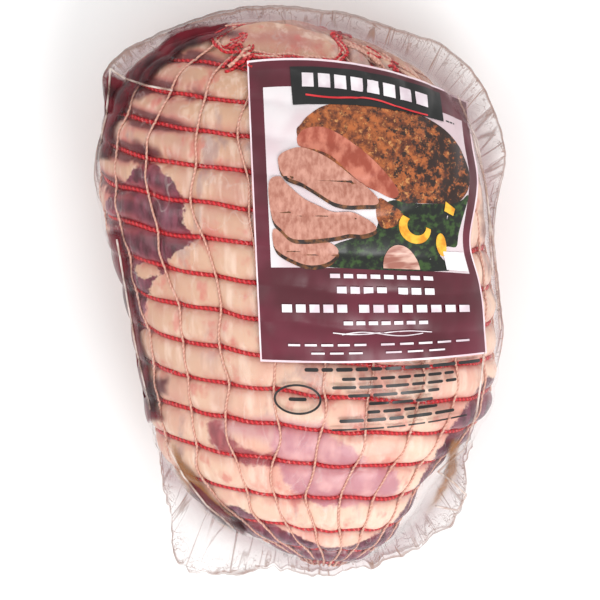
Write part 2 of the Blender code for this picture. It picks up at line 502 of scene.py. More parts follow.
class Nodes:
    """Short ways to add shader nodes."""

    def __init__(self, tree):
        self.tree = tree

    def add(self, kind, **settings):
        node = self.tree.nodes.new("ShaderNode" + kind)
        for key, value in settings.items():
            setattr(node, key, value)
        return node

    def put(self, socket, value):
        if isinstance(value, bpy.types.NodeSocket):
            self.tree.links.new(value, socket)
        else:
            socket.default_value = value

    def place(self, stretch=(1, 1, 1)):
        coordinates = self.add("TexCoord")
        mapping = self.add("Mapping")
        self.put(mapping.inputs["Vector"], coordinates.outputs["Object"])
        mapping.inputs["Scale"].default_value = stretch
        return mapping.outputs["Vector"]

    def noise(self, scale, detail=3.0, stretch=(1, 1, 1), roughness=0.55, distortion=0.0):
        node = self.add("TexNoise")
        self.put(node.inputs["Vector"], self.place(stretch))
        node.inputs["Scale"].default_value = scale
        node.inputs["Detail"].default_value = detail
        node.inputs["Roughness"].default_value = roughness
        node.inputs["Distortion"].default_value = distortion
        return node.outputs["Fac"]

    def cells(self, scale, stretch=(1, 1, 1), feature="DISTANCE_TO_EDGE"):
        node = self.add("TexVoronoi", feature=feature)
        self.put(node.inputs["Vector"], self.place(stretch))
        node.inputs["Scale"].default_value = scale
        return node.outputs["Distance"]

    def math(self, operation, first, second=0.0, third=0.0):
        node = self.add("Math", operation=operation)
        self.put(node.inputs[0], first)
        self.put(node.inputs[1], second)
        self.put(node.inputs[2], third)
        return node.outputs[0]

    def ramp(self, value, low, high, start=0.0, end=1.0):
        node = self.add("MapRange", interpolation_type="SMOOTHSTEP")
        self.put(node.inputs["Value"], value)
        self.put(node.inputs["From Min"], low)
        self.put(node.inputs["From Max"], high)
        node.inputs["To Min"].default_value = start
        node.inputs["To Max"].default_value = end
        return node.outputs["Result"]

    def mix(self, share, first, second, blend="MIX"):
        node = self.add("Mix", data_type="RGBA", blend_type=blend)
        self.put(node.inputs[0], share)
        self.put(node.inputs[6], first)
        self.put(node.inputs[7], second)
        return node.outputs[2]

    def value(self, name):
        return self.add("Attribute", attribute_name=name).outputs["Fac"]

    def bump(self, height, strength, distance, normal=None):
        node = self.add("Bump")
        node.inputs["Strength"].default_value = strength
        node.inputs["Distance"].default_value = distance
        self.put(node.inputs["Height"], height)
        if normal is not None:
            self.put(node.inputs["Normal"], normal)
        return node.outputs["Normal"]


def rgb(text):
    """Linear colour from a plain sRGB hex value."""
    parts = [int(text[k:k + 2], 16) / 255 for k in (0, 2, 4)]
    return tuple(p / 12.92 if p <= 0.04045 else ((p + 0.055) / 1.055) ** 2.4 for p in parts) + (1.0,)


def lamb_material():
    """Raw fat with fine fibres, dark bare muscle and thin fat over muscle, all moist; the fat carries painted
    shade towards the top left and painted light towards the low right.
    """
    made, tree, output = new_material("lamb")
    n = Nodes(tree)
    shader = n.add("BsdfPrincipled")
    across = n.add("SeparateXYZ")
    n.put(across.inputs[0], n.add("TexCoord").outputs["Object"])
    # painted light and shade: the cream and pink of the fat run darker towards the top left and lighter
    # towards the low right
    painted_light_slope = n.math("SUBTRACT", across.outputs["X"], n.math("MULTIPLY", across.outputs["Y"], 0.7))
    cream = n.mix(n.ramp(painted_light_slope, -0.12, 0.10), rgb("C79C80"), rgb("E9C4AE"))
    pink = n.mix(n.ramp(painted_light_slope, -0.12, 0.10), rgb("B57F70"), rgb("E3A292"))
    fat = n.mix(n.ramp(n.noise(26, 3, (1.0, 0.7, 1.0)), 0.44, 0.68), cream, pink)
    fibres = n.noise(240, 4, (1.0, 0.12, 1.0), 0.6)
    fat = n.mix(n.ramp(fibres, 0.46, 0.70, 0.0, 0.42), fat, rgb("F7E2D2"))
    fat = n.mix(n.ramp(n.noise(42, 3, (1.0, 0.5, 1.0)), 0.52, 0.74, 0.0, 0.5), fat, rgb("B9857A"))
    fat = n.mix(n.ramp(n.noise(55, 4, (1.0, 0.4, 1.0), 0.6, 0.4), 0.56, 0.70, 0.0, 0.55), fat, rgb("967B80"))
    fat = n.mix(n.ramp(n.noise(120, 3, (1.0, 0.6, 1.0)), 0.54, 0.70, 0.0, 0.6), fat, rgb("C9665E"))
    ragged = n.math("MULTIPLY", n.math("SUBTRACT", n.noise(170, 5, roughness=0.7), 0.5), 9.0)
    soft = n.math("MULTIPLY", n.math("SUBTRACT", n.noise(75, 3), 0.5), 9.0)
    grain = n.noise(420, 3, (1.0, 0.25, 1.0))
    muscle_colour = n.mix(n.ramp(grain, 0.35, 0.7), rgb("4A1422"), rgb("7C3446"))
    muscle_colour = n.mix(n.ramp(n.noise(60, 2), 0.5, 0.75, 0.0, 0.5), muscle_colour, rgb("9A6474"))
    in_muscle = n.ramp(n.math("ADD", n.value("muscle"), ragged), -0.5, 0.6)
    in_band = n.ramp(n.math("ADD", n.value("band"), ragged), -1.6, 1.2, 0.0, 0.92)
    in_window = n.ramp(n.math("ADD", n.value("window"), ragged), -1.2, 1.6, 0.0, 0.92)
    in_veil = n.ramp(n.math("ADD", n.value("veil"), soft), -1.0, 6.0, 0.0, 0.55)
    in_rim = n.ramp(n.math("ADD", n.value("rim"), n.math("MULTIPLY", ragged, 0.6)), -0.3, 0.8)
    in_blood = n.ramp(n.math("ADD", n.value("blood"), soft), -2.2, 2.0, 0.0, 0.95)
    window_colour = n.mix(n.ramp(n.noise(90, 3, (1.0, 0.6, 1.0)), 0.35, 0.7), rgb("B97A86"), rgb("DDA8A8"))
    colour = n.mix(in_veil, fat, rgb("C08C98"))
    colour = n.mix(in_window, colour, window_colour)
    colour = n.mix(in_band, colour, n.mix(n.ramp(grain, 0.3, 0.7), rgb("7A2A38"), rgb("A04850")))
    colour = n.mix(in_muscle, colour, muscle_colour)
    colour = n.mix(in_rim, colour, n.mix(n.ramp(grain, 0.3, 0.7), rgb("4A1B2B"), rgb("7A4254")))
    # painted shade and juice: the narrow cut beside each ring turns deep red, for both the shade in the
    # groove and the juice caught there
    ring_groove_shade_and_juice = n.ramp(n.value("cut"), 0.35, 1.0, 0.0, 0.72)
    weeping = n.math("MULTIPLY", n.value("weep"), n.ramp(n.noise(90, 3), 0.3, 0.55, 0.35, 1.5))
    colour = n.mix(n.ramp(weeping, 0.05, 0.9, 0.0, 0.92), colour,
                   n.mix(n.ramp(weeping, 0.3, 0.9), rgb("B04448"), rgb("5E0A1A")))
    colour = n.mix(ring_groove_shade_and_juice, colour, rgb("8A1822"))
    colour = n.mix(in_blood, colour, rgb("560A18"))
    n.put(shader.inputs["Base Color"], colour)
    wet = n.math("MAXIMUM", in_muscle, in_rim)
    n.put(shader.inputs["Roughness"], n.ramp(wet, 0.0, 1.0, 0.46, 0.24))
    shader.inputs["Subsurface Weight"].default_value = 0.12
    shader.inputs["Subsurface Radius"].default_value = (0.9, 0.45, 0.3)
    shader.inputs["Subsurface Scale"].default_value = 0.003
    lumps = n.bump(n.noise(110, 4, (1.0, 0.35, 1.0)), 0.5, 0.0012)
    n.put(shader.inputs["Normal"], n.bump(fibres, 0.35, 0.0005, lumps))
    n.put(output.inputs["Surface"], shader.outputs[0])
    return made


def cord_material(name, dark, bright, fleck, fleck_share):
    """Twisted elastic: its colour runs darker in the hollows of the twist and lighter on the crests, which is
    painted shade and light, with paler thread showing between the turns.
    """
    made, tree, output = new_material(name)
    n = Nodes(tree)
    shader = n.add("BsdfPrincipled")
    turns = n.math("MULTIPLY", n.value("along"), math.tau / CORD_PITCH)
    winding = n.math("SINE", n.math("ADD", turns, n.value("about")))
    # painted shade and light: darker where the twist's bump is low, lighter where it is high
    twist_shaded_yarn = n.mix(n.ramp(winding, -0.6, 0.7), rgb(dark), rgb(bright))
    shows = n.math("MULTIPLY", n.ramp(winding, 0.72, 0.98),
                   n.ramp(n.noise(260, 2), 1 - fleck_share, 1.0 - fleck_share + 0.1))
    n.put(shader.inputs["Base Color"], n.mix(shows, twist_shaded_yarn, rgb(fleck)))
    n.put(shader.inputs["Roughness"], n.ramp(winding, -1, 1, 0.5, 0.35))
    n.put(shader.inputs["Normal"], n.bump(winding, 0.5, 0.0004))
    n.put(output.inputs["Surface"], shader.outputs[0])
    return made


def stain(n):
    """Juice caught under the film: how much of it covers, and its colour."""
    juice = n.math("ADD", n.value("juice"), n.math("MULTIPLY", n.math("SUBTRACT", n.noise(85, 4), 0.5), 5.0))
    juicy = n.ramp(juice, -1.6, 1.6, 0.0, 0.97)
    brown = n.math("ADD", n.value("brown"), n.math("MULTIPLY", n.math("SUBTRACT", n.noise(90, 4), 0.5), 5.0))
    browned = n.ramp(brown, -1.0, 2.0, 0.0, 0.75)
    dark = n.mix(n.ramp(n.noise(60, 3), 0.35, 0.62), rgb("30040C"), rgb("660F1E"))
    return n.math("MAXIMUM", juicy, browned), n.mix(n.ramp(juicy, 0.0, 0.06), rgb("8E5A2A"), dark)


MOST_MIRRORED = 0.11


def film_skin(n, normal, glance, roughness):
    """Clear film: lets light through and mirrors a little of it, more at a glance."""
    gloss = n.add("BsdfGlossy")
    gloss.inputs["Roughness"].default_value = roughness
    n.put(gloss.inputs["Normal"], normal)
    shine = n.add("Fresnel")
    shine.inputs["IOR"].default_value = glance
    n.put(shine.inputs["Normal"], normal)
    skin = n.add("MixShader")
    n.put(skin.inputs[0], n.math("MINIMUM", shine.outputs[0], MOST_MIRRORED))
    n.put(skin.inputs[1], n.add("BsdfTransparent").outputs[0])
    n.put(skin.inputs[2], gloss.outputs[0])
    return skin.outputs[0]


def film_material():
    """Tight clear film over the leg, faintly creased, with juice caught under it."""
    made, tree, output = new_material("clear_film")
    n = Nodes(tree)
    normal = n.bump(n.noise(130, 4, (1.0, 0.35, 1.0), 0.6, 0.6), 0.35, 0.0006)
    covered, colour = stain(n)
    creases = n.ramp(n.math("ABSOLUTE", n.math("SUBTRACT", n.noise(38, 3, (1.0, 0.35, 1.0), distortion=1.0),
                                                 0.5)),
                     0.0, 0.006, 0.16, 0.0)
    body = n.add("BsdfPrincipled")
    n.put(body.inputs["Base Color"], n.mix(n.ramp(covered, 0.0, 0.06), rgb("F4E6DE"), colour))
    body.inputs["Roughness"].default_value = 0.22
    body.inputs["Specular IOR Level"].default_value = 0.15
    n.put(body.inputs["Normal"], normal)
    whole = n.add("MixShader")
    n.put(whole.inputs[0], n.math("MAXIMUM", covered, creases))
    n.put(whole.inputs[1], film_skin(n, normal, 1.22, 0.12))
    n.put(whole.inputs[2], body.outputs[0])
    n.put(output.inputs["Surface"], whole.outputs[0])
    return made


def floor_material():
    made, tree, output = new_material("pale_floor")
    n = Nodes(tree)
    shader = n.add("BsdfPrincipled")
    n.put(shader.inputs["Base Color"], n.mix(n.noise(3, 2), rgb("F4F4F4"), rgb("F8F8F8")))
    shader.inputs["Roughness"].default_value = 0.9
    n.put(output.inputs["Surface"], shader.outputs[0])
    return made


# ---------------------------------------------------------------- pieces

def finish_piece(piece, material):
    piece.data.materials.append(material)
    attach(piece, BODY)
    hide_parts(BAG)


def make_leg():
    rows = np.linspace(0, 1, 372)[1:-1]
    girths = girth_steps(178, 82)
    points, out = leg_frame(rows[:, None], girths[None, :])
    broad, cut = bite(rows[:, None], girths[None, :], points)
    lumps = 0.0007 * noise_at(points, 0.013, 5.0) + 0.0003 * noise_at(points, 0.005, 9.0)
    points = points + out * (lumps + bulge(rows[:, None], girths[None, :]) - broad - cut)[..., None]
    points[..., 2] = np.maximum(points[..., 2], FLOOR_GAP)
    ends = leg_surface(np.array([0.0, 1.0]), np.array([0.0, 0.0]))
    vertices = np.concatenate((ends[:1], points.reshape(-1, 3), ends[1:]))
    leg = add_mesh("leg", vertices, closed_grid_faces(len(rows), len(girths)))
    region_values(leg, vertices)
    depth = np.concatenate(([0], (cut / RING_CUT).reshape(-1), [0]))
    phase = rows[:, None] * RINGS + ring_offset(rows[:, None], girths[None, :])
    weep = np.concatenate(([0], groove(phase, RING_SPACING, 0.0048).reshape(-1), [0]))
    where = seen(vertices)
    top_left = ease(-where[:, 0] + 0.55 * where[:, 1], 0.066, 0.116) * ease(vertices[:, 2], 0.012, 0.040)
    add_values(leg, "weep", weep * np.maximum(top_left, 0.30))
    add_values(leg, "cut", depth)
    finish_piece(leg, lamb_material())
    return leg


def make_rings():
    tubes = []
    for ring in range(FIRST_RING, LAST_RING + 1):
        girths = np.linspace(0, 1, 640, endpoint=False)
        rows = ring_rows(ring, girths)
        points, out = leg_frame(rows, girths)
        broad, cut = bite(rows, girths, points)
        path = points + out * (0.55 * RING_RADIUS - broad - cut)[:, None]
        path[:, 2] = np.maximum(path[:, 2], FLOOR_GAP + RING_RADIUS)
        tubes.append(tube(path, out, RING_RADIUS, 7, True, 0.16, CORD_PITCH))
    rings = join_tubes("net_rings", tubes)
    finish_piece(rings, cord_material("ring_elastic", "A80A16", "D6202A", "F0857E", 0.42))


def make_strings():
    tubes = []
    for string in range(STRINGS):
        start = float(mouth(np.array([string / STRINGS]))[0])
        rows = np.linspace(start, 0.985, 330)
        girths = string_girths(string, rows)
        points, out = leg_frame(rows, girths)
        broad, cut = bite(rows, girths, points)
        over = groove(rows * RINGS + ring_offset(rows, girths), RING_SPACING, 0.0022)
        lift = 0.6 * STRING_RADIUS + 1.7 * RING_RADIUS * over
        path = points + out * (lift - broad - 0.5 * cut)[:, None]
        path[:, 2] = np.maximum(path[:, 2], FLOOR_GAP + STRING_RADIUS)
        tubes.append(tube(path, out, STRING_RADIUS, 6, False, 0.08, YARN_PITCH))
    strings = join_tubes("net_strings", tubes)
    finish_piece(strings, cord_material("string_elastic", "CF9482", "E2AE9A", "F2D0C0", 0.3))


def make_film():
    rows = np.linspace(0, 1, 300)[1:-1]
    girths = girth_steps(190, 70)
    points, out = leg_frame(rows[:, None], girths[None, :])
    broad, cut = bite(rows[:, None], girths[None, :], points)
    wrinkles = 0.0003 * np.abs(noise_at(points * np.array((1, 0.35, 1)), 0.006, 21.0))
    points = points + out * (0.0013 + wrinkles - 0.5 * broad - 0.15 * cut)[..., None]
    points[..., 2] = np.maximum(points[..., 2], 0.0)
    ends, outs = leg_frame(np.array([0.0, 1.0]), np.array([0.0, 0.0]))
    ends = ends + np.array([[0, 0.0013, 0], [0, -0.0013, 0]])
    vertices = np.concatenate((ends[:1], points.reshape(-1, 3), ends[1:]))
    film = add_mesh("film", vertices, closed_grid_faces(len(rows), len(girths)))
    add_stains(film, vertices)
    finish_piece(film, film_material())
    return film


# ---------------------------------------------------------------- loose film round the leg

MARGIN_EDGE = (
    (-0.013, 0.131), (0.018, 0.128), (0.047, 0.120), (0.070, 0.109), (0.084, 0.091),
    (0.092, 0.064), (0.087, 0.031), (0.090, 0.004), (0.091, -0.024), (0.080, -0.056),
    (0.076, -0.079), (0.075, -0.098), (0.057, -0.116), (0.028, -0.1283), (-0.011, -0.1293),
    (-0.052, -0.1285), (-0.061, -0.095), (-0.065, -0.068), (-0.072, -0.038), (-0.077, -0.006),
    (-0.083, 0.027), (-0.092, 0.055), (-0.087, 0.084), (-0.085, 0.105), (-0.050, 0.124),
)
MARGIN_ROOT = 0.62
MARGIN_LEVEL = 0.040
MARGIN_COLUMNS = 1000
MARGIN_STEPS = 34
RUFFLE_HEIGHT = 0.0028
RUFFLES = 17
FINE_RUFFLE = 0.38
FINE_RUFFLES = 29
TENT_HEIGHT = 0.009
TENT_WIDTH = 0.007
def leg_outline(count=160):
    """The leg's outline in plan, down its right side and up its left."""
    rows = np.linspace(0, 1, count)
    right = leg_surface(rows, np.zeros(count))
    left = leg_surface(rows[::-1], np.full(count, 0.5))
    return np.concatenate((right, left[1:-1]))[:, :2]


def margin_sheet(side, shift):
    """One of the two sheets of loose film: points, and how far each lies outside the leg."""
    shares = np.arange(MARGIN_COLUMNS) / MARGIN_COLUMNS
    reach = np.linspace(0, 1, MARGIN_STEPS)[:, None]
    edge = around(MARGIN_EDGE, shares)[None]
    flat = edge * (MARGIN_ROOT + (1 - MARGIN_ROOT) * reach)[..., None]
    place = np.concatenate((flat, np.zeros(flat.shape[:2] + (1,))), -1)
    ragged = 0.0022 * noise_at(place, 0.009, 40.0) + 0.0012 * noise_at(place, 0.0035, 50.0)
    ragged = ragged * (0.25 + 0.75 * ease(-place[..., 1], 0.02, 0.09))
    flat = flat * (1 + (ragged * reach ** 4 / 0.1))[..., None]
    gap = -inside_distance(flat, leg_outline())
    wave = np.sin(RUFFLES * math.tau * shares)
    wave = wave + FINE_RUFFLE * np.sin(FINE_RUFFLES * math.tau * shares + 3 * reach)
    fan = fan_places(shares, reach)
    pleats = 0.0026 * np.abs(noise_at(fan, 0.0075, shift)) + 0.0013 * np.abs(noise_at(fan, 0.0028, shift))
    pleats = pleats + 0.0012 * np.abs(noise_at(place, 0.0042, shift)) * reach ** 3
    tent = TENT_HEIGHT * np.exp(-np.clip(gap, 0, 1) / TENT_WIDTH)
    height = MARGIN_LEVEL + RUFFLE_HEIGHT * reach ** 2 * wave
    height = height + side * (tent + (pleats - 0.0008) * ease(gap, 0.0, 0.006) + 0.0004)
    return np.concatenate((flat, height[..., None]), -1), gap, fan, np.broadcast_to(reach, gap.shape)


def fan_places(shares, reach):
    """Places in which noise runs in long folds from the leg out to the edge."""
    turn = math.tau * shares[None] + 0 * reach
    return np.stack((0.1 * np.cos(turn), 0.1 * np.sin(turn), 0.006 * reach + 0 * turn), -1)


def make_margin():
    vertices, faces, gaps, fans, reaches, base = [], [], [], [], [], 0
    for side, shift in ((1, 60.0), (-1, 70.0)):
        points, gap, fan, reach = margin_sheet(side, shift)
        here = np.arange(points.shape[0] * points.shape[1]).reshape(points.shape[:2]) + base
        beside = np.roll(here, -1, axis=1)
        quads = np.stack((here[:-1], beside[:-1], beside[1:], here[1:]), -1).reshape(-1, 4)
        faces += quads[:, ::side].tolist()
        vertices.append(points.reshape(-1, 3))
        gaps.append(gap.ravel())
        fans.append(fan.reshape(-1, 3) + 0.3 * side)
        reaches.append(reach.ravel())
        base += here.size
    vertices = np.concatenate(vertices)
    margin = add_mesh("loose_film", vertices, faces)
    add_values(margin, "gap", np.concatenate(gaps) * 1000)
    add_values(margin, "reach", np.concatenate(reaches))
    layer = margin.data.attributes.new("fan", "FLOAT_VECTOR", "POINT")
    layer.data.foreach_set("vector", np.concatenate(fans).astype(np.float32).ravel())
    add_stains(margin, vertices)
    finish_piece(margin, margin_material())
    return margin


def margin_material():
    """Loose clear film: long folds out from the leg, and a crushed edge that looks milky."""
    made, tree, output = new_material("loose_film")
    n = Nodes(tree)
    fan = n.add("Attribute", attribute_name="fan").outputs["Vector"]

    def fold(scale, width, strength):
        noise = n.add("TexNoise")
        n.put(noise.inputs["Vector"], fan)
        noise.inputs["Scale"].default_value = scale
        noise.inputs["Detail"].default_value = 3.0
        noise.inputs["Distortion"].default_value = 0.3
        return n.ramp(n.math("ABSOLUTE", n.math("SUBTRACT", noise.outputs["Fac"], 0.5)),
                      0.0, width, strength, 0.0)

    wrinkle = n.noise(150, 4, (1.0, 1.0, 1.0), 0.6, 0.8)
    normal = n.bump(wrinkle, 0.5, 0.0012)
    outer = n.ramp(n.value("reach"), 0.72, 1.0, 0.0, 1.0)
    crushed = n.ramp(n.math("ABSOLUTE", n.math("SUBTRACT", n.noise(85, 3, distortion=1.2), 0.5)),
                     0.0, 0.02, 0.5, 0.0)
    crushed = n.math("MULTIPLY", crushed, outer)
    creases = n.math("MAXIMUM", fold(30, 0.012, 0.55), fold(75, 0.014, 0.38))
    creases = n.math("MAXIMUM", n.math("MULTIPLY", creases, n.ramp(n.value("gap"), 0.5, 6.0, 0.2, 1.0)),
                     crushed)
    edge = n.ramp(n.value("reach"), 0.965, 0.99, 0.0, 0.38)
    creases = n.math("MAXIMUM", creases, edge)
    haze = n.math("ADD", creases, n.ramp(n.noise(40, 3), 0.35, 0.7, 0.08, 0.24))
    haze = n.math("ADD", haze, n.ramp(n.value("gap"), 0.0, 14.0, 0.20, 0.0))
    haze = n.math("MULTIPLY", haze, n.ramp(n.value("gap"), -2.0, 2.0, 0.05, 1.0))
    covered, colour = stain(n)
    body = n.add("BsdfPrincipled")
    film_colour = n.mix(n.ramp(n.value("gap"), 0.0, 18.0), rgb("A07C80"), rgb("DDD4D1"))
    film_colour = n.mix(n.ramp(creases, 0.05, 0.45), film_colour, rgb("8E6A5C"))
    n.put(body.inputs["Base Color"], n.mix(n.ramp(covered, 0.0, 0.06), film_colour, colour))
    body.inputs["Roughness"].default_value = 0.25
    body.inputs["Specular IOR Level"].default_value = 0.15
    n.put(body.inputs["Normal"], normal)
    whole = n.add("MixShader")
    n.put(whole.inputs[0], n.math("MAXIMUM", haze, covered))
    n.put(whole.inputs[1], film_skin(n, normal, 1.16, 0.18))
    n.put(whole.inputs[2], body.outputs[0])
    n.put(output.inputs["Surface"], whole.outputs[0])
    return made


# Long folds and doubled edges of the loose film, as they show from the camera
FOLDS = (
    mm((-84.5, 102), (-77, 97), (-68, 93.5), (-56, 91)),
    mm((-84.5, 102), (-85, 92), (-86, 80), (-89, 68)),
    mm((-81, 26), (-77, 0), (-73, -24), (-67, -50)),
    mm((-60, -64), (-52, -80), (-42, -93), (-30, -104)),
    mm((77, 73), (83, 50), (87, 20), (90, -14)),
    mm((70, 90), (79, 70), (84, 44), (86, 10)),
    mm((82, -24), (79, -50), (74, -68), (62, -78)),
    mm((62, -78), (70, -84), (76, -90), (72, -97), (62, -95)),
)
FOLD_RADIUS = 0.0005


def make_folds(*pieces):
    """Pale ridges where the loose film is folded."""
    press = Printer(*pieces)
    tubes = []
    for line in FOLDS:
        steps = np.linspace(0, 1, 60)
        lengths = np.linspace(0, 1, len(line))
        places = np.stack((np.interp(steps, lengths, line[:, 0]), np.interp(steps, lengths, line[:, 1])), -1)
        path = np.array([tuple(p) for p in press.onto(places, 0.0003)])
        out = np.tile(np.array(tuple(TO_CAMERA)), (len(path), 1))
        tubes.append(tube(path, out, FOLD_RADIUS, 6, False, 0.0, 0.01))
    folds = join_tubes("film_folds", tubes)
    made, tree, output = new_material("film_fold")
    n = Nodes(tree)
    body = n.add("BsdfPrincipled")
    n.put(body.inputs["Base Color"], n.mix(n.ramp(n.noise(120, 3), 0.35, 0.65), rgb("C9A592"), rgb("F2E4DC")))
    body.inputs["Roughness"].default_value = 0.2
    mix = n.add("MixShader")
    n.put(mix.inputs[0], n.ramp(n.noise(60, 3), 0.35, 0.65, 0.25, 0.75))
    n.put(mix.inputs[1], n.add("BsdfTransparent").outputs[0])
    n.put(mix.inputs[2], body.outputs[0])
    n.put(output.inputs["Surface"], mix.outputs[0])
    finish_piece(folds, made)


# ---------------------------------------------------------------- the bag's print

LABEL_CORNERS = mm((-22.5, 103.0), (74.3, 87.3), (82.4, -24.0), (-16.7, -27.0))
LABEL_TOP_RISE = 0.0068
LABEL_BOTTOM_SAG = 0.0018
PRINT_LIFT = 0.0004
LAYER = 0.00008
PRINT_STEP = 0.0014
LABEL_SIZE = np.array((0.098, 0.128))
WINDOW_BOX = (0.06, 0.965, 0.09, 0.69)


def label_plane(places):
    """Where places on the label, shares across and down it, show on the plane facing the camera."""
    u, v = places[:, :1], places[:, 1:]
    top_left, top_right, bottom_right, bottom_left = LABEL_CORNERS
    flat = (1 - v) * ((1 - u) * top_left + u * top_right) + v * ((1 - u) * bottom_left + u * bottom_right)
    arch = 4 * u * (1 - u) * (LABEL_TOP_RISE * (1 - v) - LABEL_BOTTOM_SAG * v)
    nudge = u ** 3 * (0.0015 * np.exp(-((v - 0.3) / 0.1) ** 2) - 0.0042 * np.exp(-((v - 0.57) / 0.13) ** 2))
    return flat + np.concatenate((nudge, arch), 1)


def fill(outline):
    """Triangles that fill an outline, small enough to follow the film under them."""
    size = LABEL_SIZE
    corners = np.asarray(outline, float) * size
    rim = []
    for start, end in zip(corners, np.roll(corners, -1, 0)):
        count = max(1, int(math.ceil(np.linalg.norm(end - start) / PRINT_STEP)))
        rim += [start + (end - start) * k / count for k in range(count)]
    low, high = corners.min(0), corners.max(0)
    grid = np.stack(np.meshgrid(np.arange(low[0], high[0], PRINT_STEP),
                                np.arange(low[1], high[1], PRINT_STEP)), -1).reshape(-1, 2)
    if len(grid):
        grid = grid[inside_distance(grid, corners) > 0.45 * PRINT_STEP]
    points = [Vector(p) for p in rim + list(grid)]
    edges = [(k, (k + 1) % len(rim)) for k in range(len(rim))]
    found, _, faces, *_ = delaunay_2d_cdt(points, edges, [list(range(len(rim)))], 1, 1e-7)
    return np.array([tuple(p) for p in found]) / size, [list(face) for face in faces]


def oval(centre, radii, count=48, start=0.0, end=1.0):
    turns = np.linspace(start, end, count, endpoint=end - start < 1) * math.tau
    return np.stack((centre[0] + radii[0] * np.cos(turns), centre[1] + radii[1] * np.sin(turns)), -1)


def box(left, right, top, bottom):
    return np.array(((left, top), (right, top), (right, bottom), (left, bottom)), float)


def picture(*places):
    """An outline in shares of the picture window, turned into shares of the label."""
    left, right, top, bottom = WINDOW_BOX
    places = np.asarray(places, float).reshape(-1, 2)
    return np.stack((left + (right - left) * places[:, 0], top + (bottom - top) * places[:, 1]), -1)


class Printer:
    """Lays printed shapes on the film."""

    def __init__(self, *pieces):
        corners, faces = [], []
        for piece in pieces:
            base = len(corners)
            corners += [v.co.copy() for v in piece.data.vertices]
            faces += [[index + base for index in p.vertices] for p in piece.data.polygons]
        self.tree = BVHTree.FromPolygons(corners, faces)

    def onto(self, places, lift):
        """Points on the film behind places on the plane facing the camera."""
        found = []
        for x, y in places:
            start = VIEW_CENTRE + Vector((x, 0, 0)) + VIEW_UP * y + TO_CAMERA * 0.3
            hit, normal, _, _ = self.tree.ray_cast(start, -TO_CAMERA)
            if hit is None:
                away = (start.z - MARGIN_LEVEL) / TO_CAMERA.z
                hit, normal = start - TO_CAMERA * away, TO_CAMERA
            facing = normal if normal.dot(TO_CAMERA) > 0 else -normal
            found.append(hit + (facing + TO_CAMERA).normalized() * lift)
        return found

    def lay(self, name, outlines, material, layer, plane=label_plane):
        vertices, faces = [], []
        for outline in outlines:
            places, triangles = fill(outline)
            base = len(vertices)
            vertices += self.onto(plane(places), PRINT_LIFT + LAYER * layer)
            faces += [[index + base for index in face][::-1] for face in triangles]
        piece = add_mesh(name, [tuple(v) for v in vertices], faces)
        finish_piece(piece, material)
        return piece


def ink(name, first, second, scale=60.0, detail=3.0, stretch=(1, 1, 1), low=0.4, high=0.65, solid=1.0):
    """A printed field, from one colour to another in soft patches."""
    made, tree, output = new_material(name)
    n = Nodes(tree)
    shader = n.add("BsdfPrincipled")
    n.put(shader.inputs["Base Color"],
          n.mix(n.ramp(n.noise(scale, detail, stretch), low, high), rgb(first), rgb(second)))
    shader.inputs["Roughness"].default_value = 0.35
    n.put(shader.inputs["Normal"], n.bump(n.noise(90, 3, (1, 0.4, 1)), 0.25, 0.0006))
    if solid == 1.0:
        n.put(output.inputs["Surface"], shader.outputs[0])
        return made
    mix = n.add("MixShader")
    mix.inputs[0].default_value = solid
    n.put(mix.inputs[1], n.add("BsdfTransparent").outputs[0])
    n.put(mix.inputs[2], shader.outputs[0])
    n.put(output.inputs["Surface"], mix.outputs[0])
    return made


def roast_ink():
    """A browned crust: orange to brown, with charred herby specks."""
    made, tree, output = new_material("print_crust")
    n = Nodes(tree)
    shader = n.add("BsdfPrincipled")
    colour = n.mix(n.ramp(n.noise(230, 5, roughness=0.7), 0.36, 0.64), rgb("54220E"), rgb("B4622E"))
    colour = n.mix(n.ramp(n.noise(420, 4, roughness=0.7), 0.56, 0.66), colour, rgb("C98A50"))
    place = n.add("SeparateXYZ")
    n.put(place.inputs[0], n.add("TexCoord").outputs["Object"])
    charred = n.math("ADD", n.noise(260, 5, roughness=0.75),
                     n.ramp(place.outputs["X"], 0.025, 0.07, 0.0, 0.16))
    colour = n.mix(n.ramp(charred, 0.56, 0.66), colour, rgb("2A140C"))
    n.put(shader.inputs["Base Color"], colour)
    shader.inputs["Roughness"].default_value = 0.35
    n.put(output.inputs["Surface"], shader.outputs[0])
    return made


ROAST = ((.156, .254), (.18, .21), (.216, .164), (.297, .104), (.394, .075), (.543, .06), (.662, .056),
         (.803, .066), (.907, .113), (.967, .19), (.995, .302), (1.0, .40), (.989, .48), (.944, .555),
         (.84, .585), (.729, .60), (.647, .60), (.40, .50), (.20, .38))
CUT_FACE = ((.163, .27), (.20, .235), (.283, .222), (.364, .255), (.454, .317), (.543, .40), (.617, .49),
            (.65, .555), (.617, .59), (.543, .562), (.468, .525), (.394, .455), (.32, .382), (.245, .35),
            (.171, .336), (.156, .305))
SLICES = (
    ((.019, .79), (.059, .799), (.104, .842), (.193, .866), (.283, .857), (.335, .90), (.305, .952),
     (.245, .983), (.171, .985), (.097, .953), (.037, .911), (.015, .859)),
    ((.007, .534), (.059, .499), (.097, .541), (.171, .616), (.245, .657), (.32, .689), (.409, .685),
     (.483, .718), (.535, .77), (.468, .808), (.394, .81), (.32, .829), (.208, .844), (.112, .841),
     (.059, .79), (.015, .722)),
    ((.059, .396), (.097, .36), (.171, .34), (.26, .369), (.335, .416), (.424, .489), (.513, .563),
     (.546, .606), (.535, .634), (.468, .643), (.394, .65), (.32, .636), (.245, .587), (.171, .538),
     (.097, .506), (.067, .464)),
)
GREENS = ((.32, .87), (.45, .82), (.53, .78), (.56, .66), (.62, .60), (.75, .60), (.86, .58), (.96, .54),
          (1.0, .49), (.99, .62), (.975, .75), (.96, .83), (.90, .84), (.86, .90), (.87, .995), (.26, .995),
          (.30, .93))
HEEL = ((.55, .598), (.617, .63), (.673, .675), (.64, .742), (.565, .765), (.535, .69))


def smooth(outline, count=72):
    return around(outline, np.arange(count) / count)


